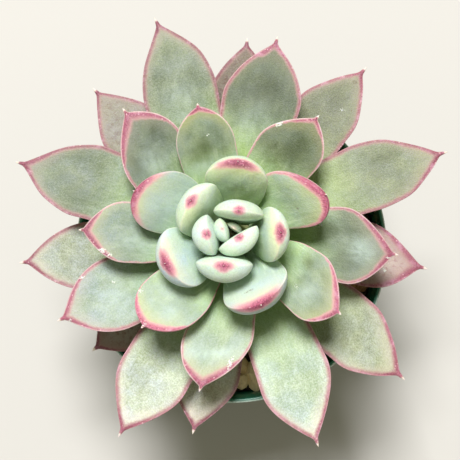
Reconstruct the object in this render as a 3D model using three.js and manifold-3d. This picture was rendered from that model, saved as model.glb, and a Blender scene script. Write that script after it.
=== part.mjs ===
// A potted Echeveria colorata: a rosette of thirty-six leaves on a short stem,
// in a round plastic nursery pot with a dressing of coarse grit.
// Millimetres, +Z up. The origin is the middle of the pot's underside.

import * as THREE from 'three';
import { mergeVertices } from 'three/addons/utils/BufferGeometryUtils.js';
import Module from 'manifold-3d';

const wasm = await Module();
wasm.setup();

const { clamp, degToRad, lerp, smoothstep } = THREE.MathUtils;

// Neighbouring pieces keep this much air between them.
const GAP = 0.3;

// Pot
const RIM_RADIUS = 45;
const POT_HEIGHT = 75;
const FOOT_RADIUS = 32.5;
const POT_WALL = 1.2;
const COLLAR_HEIGHT = 9.5;
const COLLAR_STEP = 0.7;
const COLLAR_SLOPE = 1;
const LIP_ROUND = 0.4;
const LIP_WIDTH = 1.1;
const LIP_BEVEL = 2;
const FOOT_RECESS = 2.5;
const FOOT_WIDTH = 2.8;
const FLOOR_THICKNESS = 1.8;
const BOSS_RADIUS = 9;
const DRAIN_HOLES = 8;
const DRAIN_RADIUS = 3.5;
const DRAIN_CIRCLE = 19.5;
const DRAIN_SIDES = 16;
const POT_SEGMENTS = 48;

// Stem
const STEM_RADIUS = 6.6;
const STEM_NECK_RADIUS = 5.5;
const STEM_FOOT = 44;
const STEM_NECK_TOP = 69.5;
const STEM_SHOULDER = 92;
const STEM_TOP = 107;
const STEM_DOME = 0.9;
const STEM_BEVEL = 2;
const STEM_SEGMENTS = 24;
const STEM_DOME_STEPS = 6;

// Soil and grit
const SOIL_TOP = 66.7;
const GRIT_BED = 1.6;
const STONE_COUNT = 74;
const STONE_SPACING = 4.6;
const STONE_RADIUS = 3.2;
const STONE_SPREAD = 0.2;
const STONE_SLIMNESS = 0.85;
const STONE_FLATNESS = 0.6;
const STONE_ROUGHNESS = 0.18;
const STONE_RISE = 0.35;
const STONE_BORDER = 3.6;

// Rosette: each leaf stands one turn of the spiral on from the leaf before it.
const FIRST_HEADING = 79;
const SPIRAL_TURN = 138.4;
const FIRST_LEAF_HEIGHT = 74;
const OPEN_INTERNODE = 1.1;
const BUD_INTERNODE = 0.7;
const BASE_CLEARANCE = 0.9;
const FIRST_BUD_LEAF = 20;
const LEAF_STATIONS = 12;
const LEAF_SIDES = 12;

// Leaves from the oldest to the youngest:
// sway off the spiral (degrees), reach of the tip from the axis, height of the
// tip, greatest width, thickness, lift at the base (degrees), sideways bend,
// sideways hook of the last quarter, twist about the midrib (degrees), and the
// share of the thickness that lies above the margins.
const LEAVES = [
  [8.5, 59.5, 84, 20, 5.5, 8, -2, 0, 0, 0.3],
  [0, 50, 79, 18, 5.5, 9, 0, 0, 0, 0.3],
  [5, 55.5, 82, 19, 5.5, 6, -8, 0, 0, 0.3],
  [-2.5, 59.5, 85, 18.5, 5.5, 8, 0, 0, 0, 0.3],
  [-12, 54.5, 83, 18.5, 5.5, 8, -2, 0, 0, 0.3],
  [5, 63, 87, 18.6, 5.5, 10, -3.9, 0, 0, 0.3],
  [-4, 60, 85, 19, 5.5, 8, 0, 0, 0, 0.3],
  [-1, 61, 89, 19.5, 5.5, 10, -6, 0, 0, 0.3],
  [5.5, 66, 94, 21, 5.8, 14, -5, 2, 0, 0.3],
  [-4.5, 62, 91, 20, 5.8, 14, 0, 0, 0, 0.3],
  [5.5, 64.5, 93, 19.5, 5.8, 14, -7, 0, 0, 0.3],
  [-7.5, 63, 95, 21, 5.8, 15, 7, 0, 0, 0.3],
  [-2.5, 60.5, 96, 20, 5.8, 15, -5, 0, 0, 0.3],
  [0.5, 57.5, 98, 21.5, 6, 18, -1.5, 0, 0, 0.3],
  [-11, 52, 99, 20, 6, 18, 0, 0, 0, 0.3],
  [4.5, 45, 100, 19.5, 6, 20, -5, 0, 0, 0.3],
  [4.5, 45, 104, 19.5, 6, 28, -6, 0, 0, 0.3],
  [-4, 41.5, 104, 18.5, 6, 28, -7, 0, 0, 0.3],
  [9.5, 39.5, 107, 18, 6, 25.5, -4, 0, 0, 0.3],
  [-10.5, 40.5, 107, 16.5, 6, 29, 0, 0, 0, 0.3],
  [6, 35, 110, 17.5, 6, 29, -6, 0, 0, 0.3],
  [1, 35.5, 112, 16, 6, 25.5, -1, 0, -9, 0.3],
  [-14, 34, 111, 17.5, 6, 28.5, -2, 0, 6, 0.3],
  [19, 25, 115, 18, 6.5, 33, -9, 0, -8, 0.25],
  [-11.5, 27.5, 115, 17.5, 6.5, 36, 4, 0, 0, 0.25],
  [-2, 20.5, 117, 18, 7.3, 50, -2, 0, 0, 0.22],
  [7.5, 18, 119, 16.5, 6.6, 55, 0, 0, 0, 0.22],
  [-9.5, 19.2, 118, 16.5, 6.8, 48, 0, 0, 0, 0.22],
  [3, 12.6, 120, 14.4, 5.9, 64, 0, 0, 6, 0.36],
  [12, 13, 120, 15, 6.6, 62, 0, 0, 0, 0.28],
  [-13.5, 9.4, 121, 14.5, 6.6, 60, 0, 0, 10, 0.32],
  [19.5, 5.1, 122, 12.9, 5.2, 82, 0, 0, 15, 0.34],
  [2, 6.5, 121.5, 10.4, 6, 78, 0, 0, 0, 0.25],
  [-13, 2.5, 121, 11.8, 5.2, 92, 0, 0, -12, 0.2],
  [-50, 0.8, 117, 4.4, 2, 95, 0, 0, 0, 0.35],
  [-74, 2.4, 119, 5.8, 2.8, 84, 0, 0, 30, 0.35],
];

const LEAF_FIELDS = ['sway', 'reach', 'top', 'width', 'thickness', 'lift', 'bend', 'hook', 'twist', 'face'];

// Shares that change with age: the value in an open leaf, the value in the bud,
// and the two ages between which one passes into the other.
const AGE_RULES = {
  baseWidth: [0.45, 0.5, 20, 26],
  baseDepth: [0.6, 0.25, 18, 30],
  widest: [0.66, 0.72, 27, 31],
  bluntness: [1.1, 0.5, 12, 26],
  thickest: [0.5, 0.78, 18, 28],
  backBluntness: [0.8, 0.5, 18, 26],
  channel: [0.16, 0.03, 20, 26],
  pointRadius: [1.1, 0.35, 20, 28],
};

// The point is the last part of the midrib, past the end of the leaf's body.
const POINT_SHARE = 0.035;
const POINT_FLATNESS = 0.8;
const HOOK_START = 0.75;
const STATION_CROWDING = 1.5;
const FULLNESS = 1.2;

// Colours
const POT_GREEN = 0x0f4a35;
const SOIL_BROWN = 0x2b221a;
const GRIT_TAN = 0xc9a877;
const STEM_OLIVE = 0x8a8a5c;
const OUTER_LEAF = 0x9fae8f;
const INNER_LEAF = 0xd3e5d5;
const LAST_GREY_LEAF = 4;
const FIRST_MINT_LEAF = 26;

const potInnerRadius = (height) => {
  const t = height / POT_HEIGHT;
  return lerp(FOOT_RADIUS, RIM_RADIUS - COLLAR_STEP, t) - POT_WALL;
};

// The stem keeps its width up to the shoulder and closes in a dome.
const stemRadius = (height) => {
  const t = clamp((height - STEM_SHOULDER) / (STEM_TOP - STEM_SHOULDER), 0, 1);
  return STEM_RADIUS * (1 - t * t) ** STEM_DOME;
};

// Repeatable random numbers from 0 to 1.
function seededRandom(seed) {
  let state = seed;
  return () => {
    state = (state * 1664525 + 1013904223) % 4294967296;
    return state / 4294967296;
  };
}

// A geometry with its faces turned outwards and its doubled points merged.
function closedGeometry(geometry) {
  const bare = new THREE.BufferGeometry();
  bare.setAttribute('position', geometry.getAttribute('position').clone());
  if (geometry.index) bare.setIndex(geometry.index.clone());
  const merged = mergeVertices(bare, 1e-4);
  const p = merged.getAttribute('position');
  const source = merged.index.array;
  const faces = [];
  for (let i = 0; i < source.length; i += 3) {
    const [a, b, c] = [source[i], source[i + 1], source[i + 2]];
    if (a !== b && b !== c && c !== a) faces.push(a, b, c);
  }
  const corner = (i) => new THREE.Vector3().fromBufferAttribute(p, i);
  let volume = 0;
  for (let i = 0; i < faces.length; i += 3) {
    volume += corner(faces[i]).dot(corner(faces[i + 1]).cross(corner(faces[i + 2])));
  }
  if (volume < 0) faces.reverse();
  merged.setIndex(faces);
  return merged;
}

function solidFrom(geometry) {
  const closed = closedGeometry(geometry);
  const vertProperties = new Float32Array(closed.getAttribute('position').array);
  const triVerts = new Uint32Array(closed.index.array);
  return new wasm.Manifold(new wasm.Mesh({ numProp: 3, vertProperties, triVerts }));
}

function geometryFrom(solid) {
  const mesh = solid.getMesh();
  const geometry = new THREE.BufferGeometry();
  geometry.setAttribute('position', new THREE.BufferAttribute(mesh.vertProperties, 3));
  geometry.setIndex(new THREE.BufferAttribute(mesh.triVerts, 1));
  return geometry;
}

function pieceFrom(name, geometry, colour, roughness) {
  geometry.computeVertexNormals();
  const material = new THREE.MeshStandardMaterial({ color: colour, roughness, metalness: 0 });
  const mesh = new THREE.Mesh(geometry, material);
  mesh.name = name;
  return mesh;
}

// A body turned from a profile of [radius, height] points that starts and ends on the axis.
function turned(profile, segments) {
  const points = profile.map(([radius, height]) => new THREE.Vector2(radius, height));
  const geometry = new THREE.LatheGeometry(points, segments);
  geometry.rotateX(Math.PI / 2);
  return closedGeometry(geometry);
}

// The pot: a tapering wall under a stepped collar with a rounded lip, on a foot ring
// and a middle boss, with a ring of drain holes in the floor between them.
function makePot() {
  const collarFoot = POT_HEIGHT - COLLAR_HEIGHT;
  const wallTop = RIM_RADIUS - COLLAR_STEP;
  const floorTop = FOOT_RECESS + FLOOR_THICKNESS;
  const profile = [
    [0, 0],
    [BOSS_RADIUS, 0],
    [BOSS_RADIUS, FOOT_RECESS],
    [FOOT_RADIUS - FOOT_WIDTH, FOOT_RECESS],
    [FOOT_RADIUS - FOOT_WIDTH, 0],
    [FOOT_RADIUS - LIP_ROUND, 0],
    [FOOT_RADIUS, LIP_ROUND],
    [lerp(FOOT_RADIUS, wallTop, collarFoot / POT_HEIGHT), collarFoot - COLLAR_SLOPE],
    [RIM_RADIUS - LIP_ROUND, collarFoot],
    [RIM_RADIUS - LIP_ROUND / 2, POT_HEIGHT - 4 * LIP_ROUND],
    [RIM_RADIUS, POT_HEIGHT - 2 * LIP_ROUND],
    [RIM_RADIUS - LIP_ROUND, POT_HEIGHT],
    [RIM_RADIUS - LIP_WIDTH, POT_HEIGHT],
    [potInnerRadius(POT_HEIGHT - LIP_BEVEL), POT_HEIGHT - LIP_BEVEL],
    [potInnerRadius(floorTop), floorTop],
    [0, floorTop],
  ];
  let pot = solidFrom(turned(profile, POT_SEGMENTS));
  for (let i = 0; i < DRAIN_HOLES; i += 1) {
    const angle = (2 * Math.PI * i) / DRAIN_HOLES;
    const hole = new THREE.CylinderGeometry(DRAIN_RADIUS, DRAIN_RADIUS, 2 * floorTop, DRAIN_SIDES);
    hole.rotateX(Math.PI / 2);
    hole.translate(DRAIN_CIRCLE * Math.cos(angle), DRAIN_CIRCLE * Math.sin(angle), floorTop);
    pot = pot.subtract(solidFrom(hole));
  }
  return pieceFrom('pot', geometryFrom(pot), POT_GREEN, 0.4);
}

// The potting mix fills the pot and has a plain hole that the stem stands in.
function makeSoil() {
  const floor = FOOT_RECESS + FLOOR_THICKNESS + GAP;
  const hole = STEM_NECK_RADIUS + GAP;
  const profile = [
    [0, floor],
    [potInnerRadius(floor) - GAP, floor],
    [potInnerRadius(SOIL_TOP) - GAP, SOIL_TOP],
    [hole, SOIL_TOP],
    [hole, STEM_FOOT - GAP],
    [0, STEM_FOOT - GAP],
  ];
  return pieceFrom('soil', turned(profile, POT_SEGMENTS), SOIL_BROWN, 0.95);
}

// One rough stone: a twenty-sided ball with its corners moved in or out by chance.
function makeStone(random, radius) {
  const stone = closedGeometry(new THREE.IcosahedronGeometry(radius, 0));
  const p = stone.getAttribute('position');
  for (let i = 0; i < p.count; i += 1) {
    const swell = lerp(1 - STONE_ROUGHNESS, 1 + STONE_ROUGHNESS, random());
    p.setXYZ(i, p.getX(i) * swell, p.getY(i) * swell * STONE_SLIMNESS, p.getZ(i) * swell * STONE_FLATNESS);
  }
  stone.rotateZ(2 * Math.PI * random());
  return stone;
}

// The grit: stones on a sunflower spiral, sunk into a thin bed that lies on the soil.
function makeGrit() {
  const bottom = SOIL_TOP + GAP;
  const top = bottom + GRIT_BED;
  const inner = STEM_NECK_RADIUS + GAP;
  const profile = [
    [inner, bottom],
    [potInnerRadius(bottom) - GAP, bottom],
    [potInnerRadius(top) - GAP, top],
    [inner, top],
    [inner, bottom],
  ];
  let grit = solidFrom(turned(profile, POT_SEGMENTS));
  const random = seededRandom(41);
  for (let i = 0; i < STONE_COUNT; i += 1) {
    const size = STONE_RADIUS * lerp(1 - STONE_SPREAD, 1 + STONE_SPREAD, random());
    const radius = STONE_SPACING * Math.sqrt(i + 0.5);
    const stone = makeStone(random, size);
    const angle = degToRad(SPIRAL_TURN * i);
    const clear = radius > inner + STONE_BORDER && radius < potInnerRadius(top) - STONE_BORDER;
    if (clear) {
      stone.translate(radius * Math.cos(angle), radius * Math.sin(angle), top + STONE_RISE * size);
      grit = grit.add(solidFrom(stone));
    }
  }
  return pieceFrom('grit', geometryFrom(grit), GRIT_TAN, 0.9);
}

// The stem: a stalk that thickens above the grit and closes at the growing tip.
function makeStem() {
  const profile = [
    [0, STEM_FOOT],
    [STEM_NECK_RADIUS - STEM_BEVEL, STEM_FOOT],
    [STEM_NECK_RADIUS, STEM_FOOT + 2 * STEM_BEVEL],
    [STEM_NECK_RADIUS, STEM_NECK_TOP],
    [STEM_RADIUS, STEM_NECK_TOP + 2 * STEM_BEVEL],
    [STEM_RADIUS, STEM_SHOULDER],
  ];
  for (let i = 1; i <= STEM_DOME_STEPS; i += 1) {
    const turn = (Math.PI / 2) * (i / STEM_DOME_STEPS);
    const height = lerp(STEM_SHOULDER, STEM_TOP, Math.sin(turn));
    profile.push([stemRadius(height), height]);
  }
  return pieceFrom('stem', turned(profile, STEM_SEGMENTS), STEM_OLIVE, 0.8);
}

// A leaf's own measures, and those that follow from its age.
function leafWithAge(row, age) {
  const leaf = Object.fromEntries(LEAF_FIELDS.map((field, i) => [field, row[i]]));
  for (const [field, [open, bud, from, to]] of Object.entries(AGE_RULES)) {
    leaf[field] = lerp(open, bud, smoothstep(age, from, to));
  }
  const budAge = Math.max(age - FIRST_BUD_LEAF, 0);
  leaf.heading = FIRST_HEADING + SPIRAL_TURN * age + leaf.sway;
  leaf.baseHeight = FIRST_LEAF_HEIGHT + OPEN_INTERNODE * (age - budAge) + BUD_INTERNODE * budAge;
  leaf.baseRadius = stemRadius(leaf.baseHeight) + BASE_CLEARANCE;
  return leaf;
}

// A share that swells from its base value to one at the peak and falls to nothing at the end.
function swelling(t, base, peak, bluntness) {
  if (t < peak) return lerp(base, 1, Math.sin((t / peak) * (Math.PI / 2)) ** FULLNESS);
  const fall = Math.min((t - peak) / (1 - peak), 1);
  return (1 - fall * fall) ** bluntness;
}

const blended = (a, b) => Math.cbrt(a ** 3 + b ** 3);

// A point on the leaf, for a place along the midrib (0 to 1) and an angle round it
// (0 at one margin, a quarter turn on the face, half a turn at the other margin).
function leafPoint(leaf, along, angle) {
  const lift = degToRad(leaf.lift);
  const start = new THREE.Vector2(leaf.baseRadius, leaf.baseHeight);
  const end = new THREE.Vector2(leaf.reach, leaf.top);
  const arm = start.distanceTo(end) / 2;
  const knee = new THREE.Vector2(arm * Math.cos(lift), arm * Math.sin(lift)).add(start);
  const midrib = new THREE.QuadraticBezierCurve(start, knee, end);
  const rib = midrib.getPoint(along);
  const run = midrib.getTangent(along);

  const body = Math.min(along / (1 - POINT_SHARE), 1);
  const left = (1 - along) / POINT_SHARE;
  const pointWidth = leaf.pointRadius * (left ** FULLNESS / (left ** FULLNESS + 1));
  const pointDepth = POINT_FLATNESS * pointWidth;
  const width = leaf.width * swelling(body, leaf.baseWidth, leaf.widest, leaf.bluntness);
  const depth = leaf.thickness * swelling(body, leaf.baseDepth, leaf.thickest, leaf.backBluntness);
  const half = blended(width / 2, pointWidth);
  const face = blended(leaf.face * depth, pointDepth);
  const back = blended((1 - leaf.face) * depth, pointDepth);

  const c = Math.cos(angle);
  const s = Math.sin(angle);
  const across = half * c;
  const trough = leaf.channel * half * c * c * Math.min(left, 1);
  const above = (s > 0 ? face * s : back * s) + trough;
  const twist = degToRad(leaf.twist);
  const side = across * Math.cos(twist) - above * Math.sin(twist)
    + leaf.bend * along * along + leaf.hook * Math.max((along - HOOK_START) / (1 - HOOK_START), 0) ** 2;
  const up = across * Math.sin(twist) + above * Math.cos(twist);

  const out = rib.x - run.y * up;
  const height = rib.y + run.x * up;
  const heading = degToRad(leaf.heading);
  return new THREE.Vector3(
    out * Math.cos(heading) - side * Math.sin(heading),
    out * Math.sin(heading) + side * Math.cos(heading),
    height,
  );
}

// A leaf's skin: rings of points from the base to the tip, closer together near the tip.
function makeLeaf(row, age) {
  const leaf = leafWithAge(row, age);
  const positions = [];
  const faces = [];
  for (let i = 0; i < LEAF_STATIONS; i += 1) {
    const along = 1 - (1 - i / LEAF_STATIONS) ** STATION_CROWDING;
    for (let j = 0; j < LEAF_SIDES; j += 1) {
      positions.push(...leafPoint(leaf, along, (2 * Math.PI * j) / LEAF_SIDES));
    }
  }
  const tip = positions.length / 3;
  positions.push(...leafPoint(leaf, 1, 0));
  for (let j = 0; j < LEAF_SIDES; j += 1) {
    const next = (j + 1) % LEAF_SIDES;
    for (let i = 0; i < LEAF_STATIONS - 1; i += 1) {
      const ring = i * LEAF_SIDES;
      const outer = ring + LEAF_SIDES;
      faces.push(ring + j, ring + next, outer + next);
      faces.push(ring + j, outer + next, outer + j);
    }
    faces.push(tip - LEAF_SIDES + j, tip - LEAF_SIDES + next, tip);
    if (j > 0 && next > 0) faces.push(0, next, j);
  }
  const geometry = new THREE.BufferGeometry();
  geometry.setAttribute('position', new THREE.Float32BufferAttribute(positions, 3));
  geometry.setIndex(faces);
  const youth = smoothstep(age, LAST_GREY_LEAF, FIRST_MINT_LEAF);
  const colour = new THREE.Color(OUTER_LEAF).lerp(new THREE.Color(INNER_LEAF), youth);
  const name = `leaf_${String(age).padStart(2, '0')}`;
  return pieceFrom(name, closedGeometry(geometry), colour, 0.65);
}

const plant = new THREE.Group();
plant.add(makePot(), makeSoil(), makeGrit(), makeStem());
LEAVES.forEach((row, age) => plant.add(makeLeaf(row, age)));

export default plant;
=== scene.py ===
"""The looks of a potted Echeveria colorata: thirty-six leaves under a powdery bloom, with flushed
margins and fine points, on a short stem in a green plastic pot dressed with crushed stone.

Shapes are worked out in millimetres in the part's own frame, and become metres in new_mesh.
"""

import math

import bpy
import numpy as np
from mathutils import Matrix, Vector


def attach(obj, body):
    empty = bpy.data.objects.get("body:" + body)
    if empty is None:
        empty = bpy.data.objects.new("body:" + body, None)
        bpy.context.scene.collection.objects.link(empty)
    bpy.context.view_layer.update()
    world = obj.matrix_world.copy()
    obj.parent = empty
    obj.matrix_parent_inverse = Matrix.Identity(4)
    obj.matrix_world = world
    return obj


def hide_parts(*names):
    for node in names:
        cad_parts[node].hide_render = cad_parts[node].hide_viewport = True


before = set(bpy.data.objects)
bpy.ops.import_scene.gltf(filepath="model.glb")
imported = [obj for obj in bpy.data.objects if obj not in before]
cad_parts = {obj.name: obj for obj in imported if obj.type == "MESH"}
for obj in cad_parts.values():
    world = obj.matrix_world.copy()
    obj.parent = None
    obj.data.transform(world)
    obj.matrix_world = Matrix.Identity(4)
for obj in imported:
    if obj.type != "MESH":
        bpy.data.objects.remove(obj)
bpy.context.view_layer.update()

MM = 0.001

# Pot
RIM_RADIUS = 45.0
POT_HEIGHT = 75.0
FOOT_RADIUS = 32.5
POT_WALL = 1.2
COLLAR_HEIGHT = 9.5
COLLAR_STEP = 0.7
COLLAR_SLOPE = 1.0
LIP_ROUND = 0.45
LIP_WIDTH = 1.1
LIP_BEVEL = 2.0
FOOT_RECESS = 2.5
FOOT_WIDTH = 2.8
FLOOR_THICKNESS = 1.8
BOSS_RADIUS = 9.0
DRAIN_HOLES = 8
DRAIN_RADIUS = 3.5
DRAIN_CIRCLE = 19.5
DRAIN_BAND = (13.5, 25.5)
# Rim top bands: one for a painted reflection, one for worn patches with a painted highlight.
LIP_BAND = (0.4, 0.1)
WORN_EDGE_AND_HIGHLIGHT_BAND = (0.6, 0.25)
LIP_SOFTNESS = 0.2
SECTOR_STEPS = 24
POT_SIDES = DRAIN_HOLES * SECTOR_STEPS

# Stem
STEM_RADIUS = 6.6
STEM_NECK_RADIUS = 5.5
STEM_FOOT = 44.0
STEM_NECK_TOP = 69.5
STEM_SHOULDER = 92.0
STEM_TOP = 107.0
STEM_DOME = 0.9
STEM_BEVEL = 2.0
SCAR_SPACING = 2.6
SCAR_DEPTH = 0.03
SCAR_HEIGHTS = (66, 72)

# Soil and stones
SOIL_TOP = 66.7
GAP = 0.3
BED_DEPTH = 1.6
BED_ROUGHNESS = 0.35
BED_TINT = 0.05
STONES = 300
STONE_SPACING = 2.4
STONE_RADIUS = 2.5
STONE_SHAPE = (1.15, 0.8, 0.6)
STONE_PLANES = 11
STONE_TINTS = (0.3, 0.42, 0.55, 0.68, 0.8, 0.93)
TINT_SHARES = (0.12, 0.2, 0.2, 0.22, 0.16, 0.1)
TINT_SPREAD = 0.05
STONE_RAMP = ((0.0, "#1B1511"), (0.12, "#2E241B"), (0.2, "#7A5433"), (0.45, "#B98A58"),
              (0.7, "#D2AC7A"), (0.88, "#EFD29C"), (1.0, "#FFEABC"))

# Larger stones laid one by one: x, y, height above the bed, width, depth and height, lean, turn, tint.
LARGE_STONES = (
    (6.8, -36.6, 1.8, 5.4, 11.0, 3.8, 0.0, 0.08, 1.0),
    (3.3, -38.8, 1.8, 4.2, 5.8, 3.2, 0.05, -0.1, 0.95),
    (3.3, -33.9, 1.5, 3.8, 5.2, 3.0, 0.0, 0.2, 0.9),
)

# Rosette
FIRST_HEADING = 79.0
SPIRAL_TURN = 138.4
FIRST_LEAF_HEIGHT = 74.0
OPEN_INTERNODE = 1.1
BUD_INTERNODE = 0.7
BASE_CLEARANCE = 0.9
FIRST_BUD_LEAF = 20

# Leaves from the oldest to the youngest: sway off the spiral (degrees), reach of the tip from the
# axis, height of the tip, greatest width, thickness, lift at the base (degrees), sideways bend,
# sideways hook of the last quarter, twist about the midrib (degrees), share of the thickness
# above the margins; then how far the red goes from the tip along the left margin and along the
# right one, its width at the tip and its lightness, the lightness and the coolness of the green,
# in part painted light and shade that make leaves turned from the light darker and more olive
# and those turned to it lighter, how far its powder is worn thin in the middle of the face, darker
# there with painted shade as well, and how far the leaf has faded.
LEAVES = (
    (8.5, 59.5, 84, 20, 5.5, 8, -2, 0, 0, 0.3, 7, 7, 1.5, 0.7, 0.44, 0.93, 0.3, 0.8),
    (0, 50, 79, 18, 5.5, 9, 0, 0, 0, 0.3, 10, 10, 1.6, 0.75, 0.66, 1, 0.3, 0.9),
    (5, 55.5, 82, 19, 5.5, 6, -8, 0, 0, 0.3, 20, 22, 2.8, 0.95, 0.84, 1.04, 0.3, 0.95),
    (-2.5, 59.5, 85, 18.5, 5.5, 8, 0, 0, 0, 0.3, 7, 7, 1.5, 0.85, 0.68, 1.05, 0.2, 0.5),
    (-12, 54.5, 83, 18.5, 5.5, 8, -2, 0, 0, 0.3, 12, 10, 1.7, 0.85, 1.3, 1.12, 0.3, 0.3),
    (5, 63, 87, 18.6, 5.5, 10, -3.9, 0, 0, 0.3, 7, 12, 1.7, 1, 0.58, 0.92, 0.3, 0.15),
    (-4, 60, 85, 19, 5.5, 8, 0, 0, 0, 0.3, 10, 6, 2.2, 0.85, 0.94, 1.1, 0.3, 0.1),
    (-1, 61, 89, 19.5, 5.5, 10, -6, 0, 0, 0.3, 24, 9, 1.9, 1, 0.92, 0.98, 0.3, 0.1),
    (5.5, 66, 94, 21, 5.8, 14, -5, 2, 0, 0.3, 9, 7, 1.8, 0.75, 0.65, 0.97, 0.6, 0),
    (-4.5, 62, 91, 20, 5.8, 14, 0, 0, 0, 0.3, 13, 9, 2, 1, 1.28, 1.15, 0.3, 0.1),
    (5.5, 64.5, 93, 19.5, 5.8, 14, -7, 0, 0, 0.3, 13, 20, 1.8, 0.85, 0.66, 0.92, 0.5, 0.1),
    (-7.5, 63, 95, 21, 5.8, 15, 7, 0, 0, 0.3, 10, 14, 2.2, 0.75, 0.58, 1.01, 0.4, 0),
    (-2.5, 60.5, 96, 20, 5.8, 15, -5, 0, 0, 0.3, 18, 7, 1.4, 0.9, 1.17, 1.1, 0.3, 0),
    (0.5, 57.5, 98, 21.5, 6, 18, -1.5, 0, 0, 0.3, 10, 10, 2, 0.85, 0.35, 0.83, 0.9, 0),
    (-11, 52, 99, 20, 6, 18, 0, 0, 0, 0.3, 13, 18, 2, 0.9, 0.82, 1.15, 0.4, 0),
    (4.5, 45, 100, 20.6, 6, 20, -4.4, 0, 0, 0.3, 20, 12, 2.5, 0.8, 0.43, 0.92, 0.8, 0),
    (4.5, 45, 104, 19.5, 6, 28, -6, 0, 0, 0.3, 18, 14, 3, 0.8, 0.39, 0.95, 1.0, 0),
    (-4, 41.5, 104, 18.5, 6, 28, -7, 0, 0, 0.3, 15, 11, 2.9, 0.9, 0.81, 0.98, 0.3, 0),
    (9.5, 39.5, 107, 18, 6, 25.5, -4, 0, 0, 0.3, 10, 8, 1.8, 0.8, 0.36, 0.8, 1.0, 0),
    (-10.5, 40.5, 107, 16.5, 6, 29, 0, 0, 0, 0.3, 14, 9, 2.5, 0.65, 0.6, 1.06, 0.5, 0),
    (6, 35, 110, 17.5, 6, 29, -6, 0, 0, 0.3, 17, 10, 2.3, 0.85, 0.56, 0.91, 0.6, 0),
    (1, 35.5, 112, 16, 6, 25.5, -1, 0, -9, 0.3, 4.5, 6, 2, 0.85, 0.52, 0.84, 0.8, 0),
    (-14, 34, 111, 17.5, 6, 28.5, -2, 0, 6, 0.3, 12, 9, 2.2, 1, 0.73, 0.93, 0.4, 0),
    (19, 25, 115, 18, 6.5, 33, -9, 0, -8, 0.25, 12, 8, 2.2, 0.85, 0.68, 0.88, 0.5, 0),
    (-11.5, 27.5, 115, 17.5, 6.5, 36, 4, 0, 0, 0.25, 9, 9, 2, 0.75, 0.74, 1.03, 0.1, 0),
    (-2, 20.5, 117, 18, 7.3, 50, -2, 0, 0, 0.22, 8, 8, 2.2, 0.9, 0.86, 1.1, 0.1, 0),
    (7.5, 18, 119, 16.5, 6.6, 55, 0, 0, 0, 0.22, 7, 7, 1.9, 0.62, 0.98, 0.86, 0.2, 0),
    (-9.5, 19.2, 118, 16.5, 6.8, 48, 0, 0, 0, 0.22, 5, 5, 2.2, 0.85, 1, 1.14, 0.1, 0),
    (3, 12.6, 120, 14.4, 5.9, 64, 0, 0, 6, 0.36, 3.6, 3.6, 2.1, 0.8, 1.1, 0.97, 0, 0),
    (12, 13, 120, 15, 6.6, 62, 0, 0, 0, 0.28, 2.6, 3, 1.8, 0.75, 1.02, 0.93, 0, 0),
    (-13.5, 9.4, 121, 14.5, 6.6, 60, 0, 0, 10, 0.32, 3.2, 3.2, 2, 0.85, 1.03, 1.02, 0, 0),
    (19.5, 5.1, 122, 12.9, 5.2, 82, 0, 0, 15, 0.34, 0.5, 0.5, 1.7, 1, 0.98, 0.95, 0, 0),
    (2, 6.5, 121.5, 10.4, 6, 78, 0, 0, 0, 0.25, 0.5, 0.5, 1.6, 1, 1.06, 1.06, 0, 0),
    (-13, 2.5, 121, 11.8, 5.2, 92, 0, 0, -12, 0.2, 0.5, 0.5, 1.55, 1, 1.15, 1.02, 0, 0),
    # The small leaf below the bud is darkened with painted shade.
    (-50, 0.8, 117, 4.4, 2, 95, 0, 0, 0, 0.35, 0.1, 0.1, 0.1, 1, 0.42, 0.8, 0, 0),
    (-74, 2.4, 119, 6.6, 3.8, 84, 0, 0, 30, 0.35, 0.3, 0.3, 0.6, 1, 0.95, 0.95, 0, 0),
)
LEAF_FIELDS = ("sway", "reach", "top", "width", "thickness", "lift", "bend", "hook", "twist", "face",
               "red_left", "red_right", "red_width", "red_tone", "tone_and_painted_shade", "coolness", "rubbed_and_shaded", "stale")
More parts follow.
